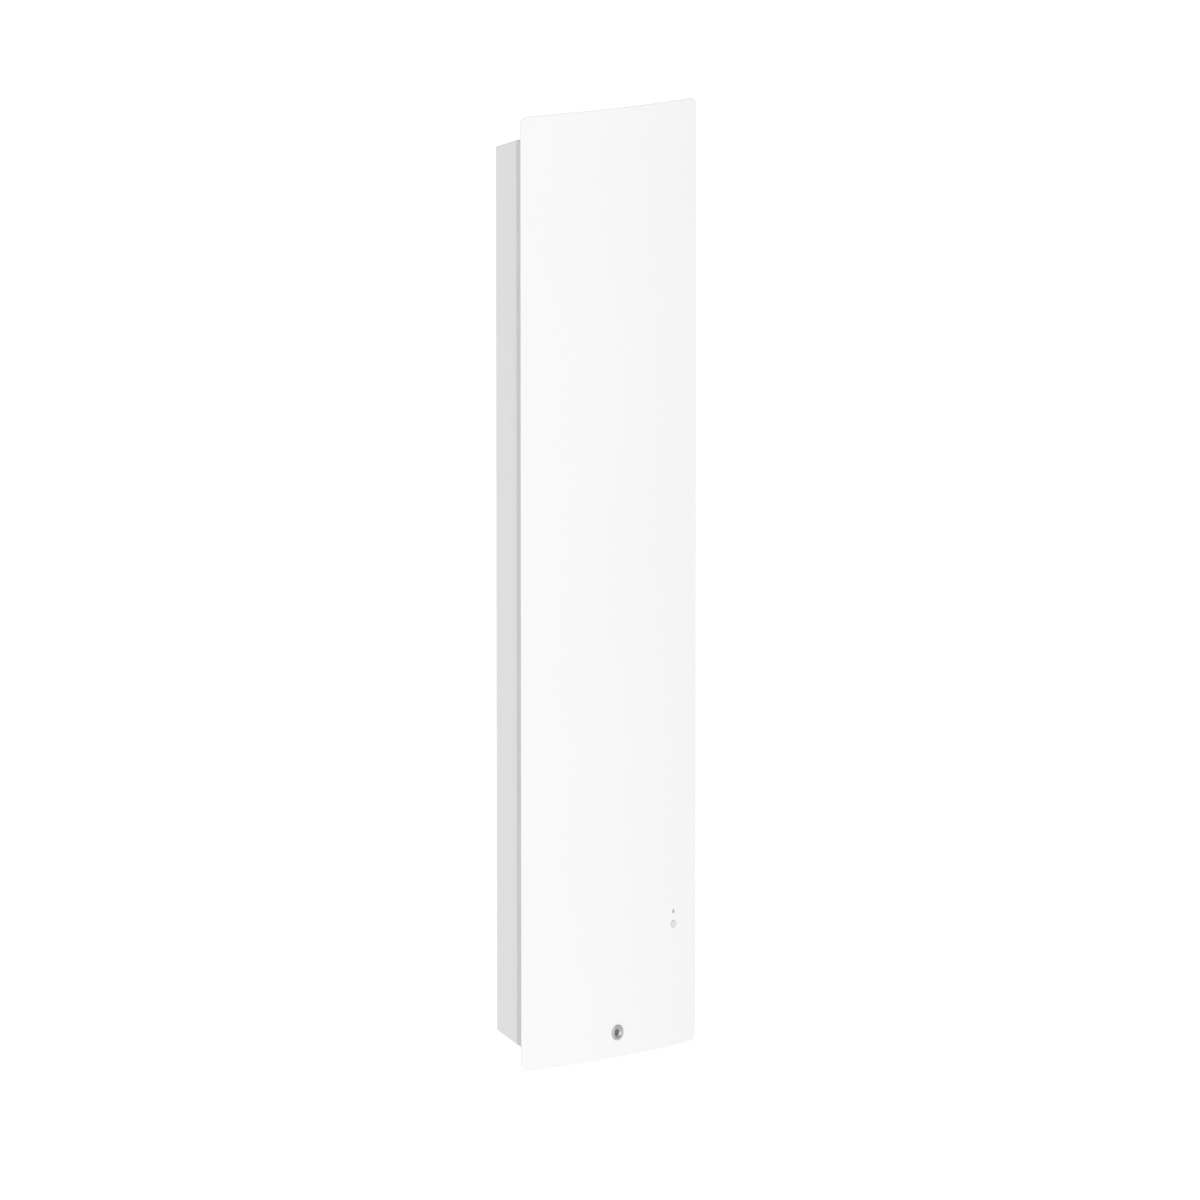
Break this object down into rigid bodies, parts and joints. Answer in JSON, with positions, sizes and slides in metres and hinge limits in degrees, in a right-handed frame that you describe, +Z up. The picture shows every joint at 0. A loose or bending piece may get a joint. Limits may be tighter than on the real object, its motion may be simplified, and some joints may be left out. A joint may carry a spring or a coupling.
{
  "type": "wall battery unit",
  "caption": "Slim wall-hung battery unit: drafted sheet tray with cells and electronics behind a bowed top-hinged cover with quarter-turn lock, status light and button.",
  "frame": {"origin": "on the wall plane, at the centre of the four wall bolts", "axes": "+Z up, +Y into the wall, +X to the right as seen from the room"},
  "size_m": [0.3446, 0.096, 1.34],
  "materials": {
    "cover_paint": "white powder coat, satin",
    "case_paint": "light grey powder coat, satin",
    "frame_plastic": "light grey moulded plastic",
    "galvanised_steel": "galvanised sheet",
    "zinc_steel": "zinc-plated",
    "lock_chrome": "satin chrome",
    "black_rubber": "matt black rubber",
    "grey_foam": "closed-cell foam",
    "cell_can": "anodised can",
    "copper": "tinned copper",
    "circuit_board": "green circuit board",
    "spreader_aluminium": "milled",
    "black_plastic": "glass-filled black plastic",
    "grey_plastic": "grey polyamide",
    "white_plastic": "white plastic",
    "red_plastic": "red plastic",
    "clear_plastic": "clear polycarbonate",
    "frosted_plastic": "frosted light guide",
    "button_plastic": "pale grey button plastic",
    "fuse_ceramic": "white ceramic",
    "red_lead": "red silicone insulation",
    "black_lead": "black silicone insulation",
    "spring_steel": "spring wire"
  },
  "bodies": {
    "chassis": {"rear_tray": "case_paint", "front_frame": "frame_plastic", "bay_divider": "case_paint", "divider_grommets": "black_rubber", "lid_gasket": "black_rubber", "inner_lid": "case_paint", "case_screws": "zinc_steel", "upper_wall_bracket": "galvanised_steel", "lower_wall_bracket": "galvanised_steel", "hook_rail": "galvanised_steel", "bracket_lock_screw": "zinc_steel", "battery_cells": "cell_can", "cell_busbars": "copper", "busbar_cover": "white_plastic", "cell_pads": "grey_foam", "cell_straps": "galvanised_steel", "heat_spreader": "spreader_aluminium", "management_board": "circuit_board", "battery_contactor": "black_plastic", "main_fuse": "fuse_ceramic", "fuse_carriers": "black_plastic", "current_shunt": "copper", "positive_lead": "red_lead", "negative_lead": "black_lead", "signal_lead": "black_lead", "isolator_body": "grey_plastic", "terminal_block": "black_plastic", "terminal_bolts": "zinc_steel", "terminal_guard": "clear_plastic", "communication_ports": "black_plastic", "earth_stud": "copper", "earth_nuts": "zinc_steel", "gland_plate": "galvanised_steel", "gland_plate_seal": "black_rubber", "cable_glands": "grey_plastic", "gland_dome_nuts": "grey_plastic", "gland_inserts": "black_rubber", "gland_lock_nuts": "grey_plastic", "breather_vent": "black_plastic", "hinge_brackets": "zinc_steel", "hinge_pins": "zinc_steel", "hinge_pin_clips": "spring_steel", "cover_buffers": "black_rubber", "lock_keeper": "zinc_steel", "control_housing": "white_plastic", "control_board": "circuit_board", "light_pipe": "frosted_plastic", "button_spring": "spring_steel"},
    "cover": {"cover_panel": "cover_paint", "cover_top_rail": "galvanised_steel", "cover_bottom_rail": "galvanised_steel", "cover_stiffeners": "galvanised_steel", "lock_housing": "lock_chrome", "lock_nut": "zinc_steel"},
    "lock": {"lock_barrel": "lock_chrome", "lock_cam": "zinc_steel", "cam_screw": "zinc_steel"},
    "isolator": {"isolator_handle": "red_plastic", "isolator_shaft": "zinc_steel"},
    "button": {"button_cap": "button_plastic"}
  },
  "joints": [
    {"name": "cover_swing", "type": "hinge", "parent": "chassis", "child": "cover", "pos_m": [0, -0.074, 0.648], "axis": [-1, 0, 0], "range_deg": [0, 35]},
    {"name": "lock_turn", "type": "hinge", "parent": "cover", "child": "lock", "pos_m": [0, -0.085, -0.6344], "axis": [0, -1, 0], "range_deg": [0, 90]},
    {"name": "isolator_turn", "type": "hinge", "parent": "chassis", "child": "isolator", "pos_m": [0.04, -0.06, -0.52], "axis": [0, -1, 0], "range_deg": [0, 90]},
    {"name": "button_press", "type": "slide", "parent": "chassis", "child": "button", "axis": [0, 1, 0], "range_m": [0, 0.0015], "stiffness_N_per_m": 300, "springref_m": -0.002, "deforming": ["button_spring"]}
  ]
}
